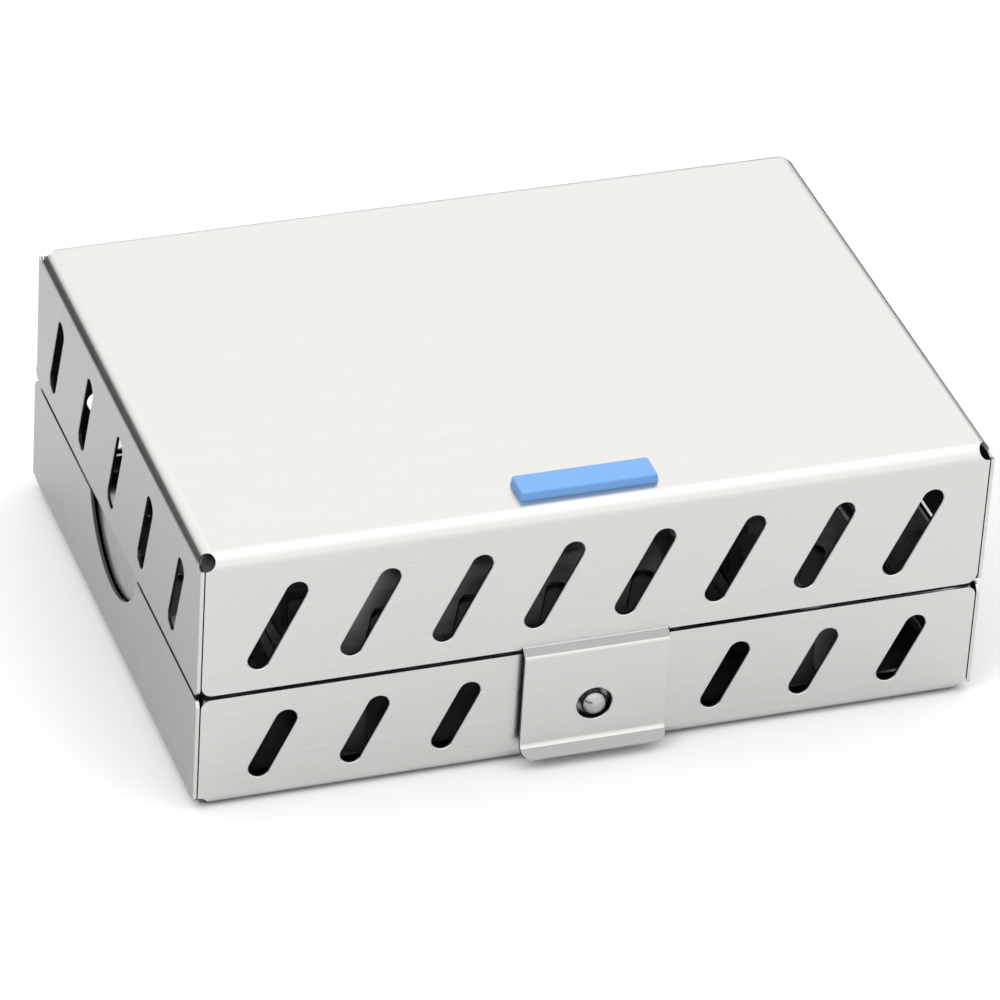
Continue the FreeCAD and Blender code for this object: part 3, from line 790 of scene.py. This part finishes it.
# %% [markdown]
# ## Combs and strips
#
# A comb is one outline, seen from the side, carried across its width.  The outline is the top edge
# worked out along the length: level, with a slot for each mirror that flares at its mouth and ends
# in a half round.  The outline draws in a little at both faces, which rounds the long edges.

# %% Comb outlines
comb_pitch = 11.0 * mm
edge_round = 0.8 * mm
round_rings = 6


def slot_places(front, rear, pitch):
    """Middles of the slots: as many as fit with half a pitch to spare at each end."""
    count = int((rear - front - pitch) / pitch + 1e-9) + 1
    return (front + rear) / 2.0 + pitch * (np.arange(count) - (count - 1) / 2.0)


def toothed_edge(front, rear, height, slot):
    """An edge along Y at a height, interrupted by the same slot at each place.

    slot is the (y, height) line of one slot about its own middle, from its front lip to its rear
    lip; it is repeated by adding each slot's middle to it.
    """
    middles = slot_places(front, rear, comb_pitch)
    slots = slot[None, :, :] + np.stack([middles, np.zeros_like(middles)], axis=-1)[:, None, :]
    line = slots.reshape(-1, 2) + np.array([0.0, height])
    return np.concatenate([[(front, height)], line, [(rear, height)]])


def flared_slot(half_width, depth, flare):
    """A slot that opens with a flare and ends in a half circle: (half width) times (cos t, sin t)."""
    turn = np.radians(np.linspace(180.0, 360.0, 13))
    foot = np.column_stack([half_width * np.cos(turn), half_width * np.sin(turn) - depth])
    lip = np.array([(half_width, -flare), (half_width + 0.3 * flare, -0.45 * flare),
                    (half_width + flare, 0.0)])
    return np.concatenate([(lip * (-1.0, 1.0))[::-1], foot, lip])


def shallow_groove(radius):
    """A half-round groove: the radius times (cos t, sin t) below the edge."""
    turn = np.radians(np.linspace(180.0, 360.0, 13))
    return np.column_stack([radius * np.cos(turn), radius * np.sin(turn)])


def drawn_in(outline, inset):
    """Move a closed outline inwards along the mean of its two neighbouring edges' normals."""
    ahead = np.roll(outline, -1, 0) - outline
    ahead /= np.linalg.norm(ahead, axis=1, keepdims=True)
    normal = np.column_stack([-ahead[:, 1], ahead[:, 0]])
    mean = normal + np.roll(normal, 1, 0)
    mean /= np.maximum(np.linalg.norm(mean, axis=1, keepdims=True), 1e-9)
    return outline + inset * mean


def comb_rings(edge, foot_height, middle_x, foot_half, blade_half, rounding):
    """The outline carried along X, over a foot that is wider than the blade.

    Rings of the foot are the outline cut off at the foot's height.  Near each face of the blade
    the outline draws in by a quarter round: for an angle t the place along X is the face less
    rounding times (1 - sin t), and the outline is drawn in by rounding times (1 - cos t).
    """
    (front, _), (rear, _) = edge[0], edge[-1]
    outline = np.concatenate([[(front, 0.0), (rear, 0.0)], edge[::-1]])
    foot = np.column_stack([outline[:, 0], np.minimum(outline[:, 1], foot_height)])
    turn = np.radians(np.linspace(0.0, 90.0, round_rings))
    half = [(foot_half, foot), (blade_half, foot)]
    for t in turn:
        shrunk = drawn_in(outline, rounding * (1.0 - math.sin(t)))
        ring = np.where((outline[:, 1] > foot_height)[:, None], shrunk, outline)
        half.append((blade_half - rounding * (1.0 - math.cos(t)), ring))
    both = [(-place, ring) for place, ring in half] + half[::-1]
    return np.array([np.column_stack([np.full(len(ring), middle_x + place), ring]) for place, ring in both])


# %% Combs and strips
foot_height = 4.4 * mm
comb_half = 3.0 * mm
strip_half = 2.0 * mm
slot_half = 1.6 * mm
slot_depth = 9.0 * mm
slot_flare = 1.2 * mm
comb_slot = flared_slot(slot_half, slot_depth, slot_flare)
strip_groove = shallow_groove(slot_half)


def make_comb(node, name, body, slot, blade_half, hanging):
    """A comb on its rail, or the same turned upside down as a strip under the lid."""
    low, high = boxes[node]
    middle_x = (low[0] + high[0]) / 2.0
    foot_half = (high[0] - low[0]) / 2.0
    edge = toothed_edge(low[1], high[1], high[2] - low[2], slot)
    rings = comb_rings(edge, foot_height, middle_x, foot_half, blade_half, edge_round)
    if hanging:
        rings[:, :, 2] = high[2] - rings[:, :, 2]
        rings = rings[:, ::-1, :]
    else:
        rings[:, :, 2] += low[2]
    return skinned(name, [rings], body, grey_silicone, "grey_silicone", node)


for side in ("left", "right"):
    make_comb("comb_" + side, "slotted_comb_" + side, "cradle", comb_slot, comb_half, False)
    make_comb("strip_" + side, "hold_down_strip_" + side, "lid", strip_groove, strip_half, True)
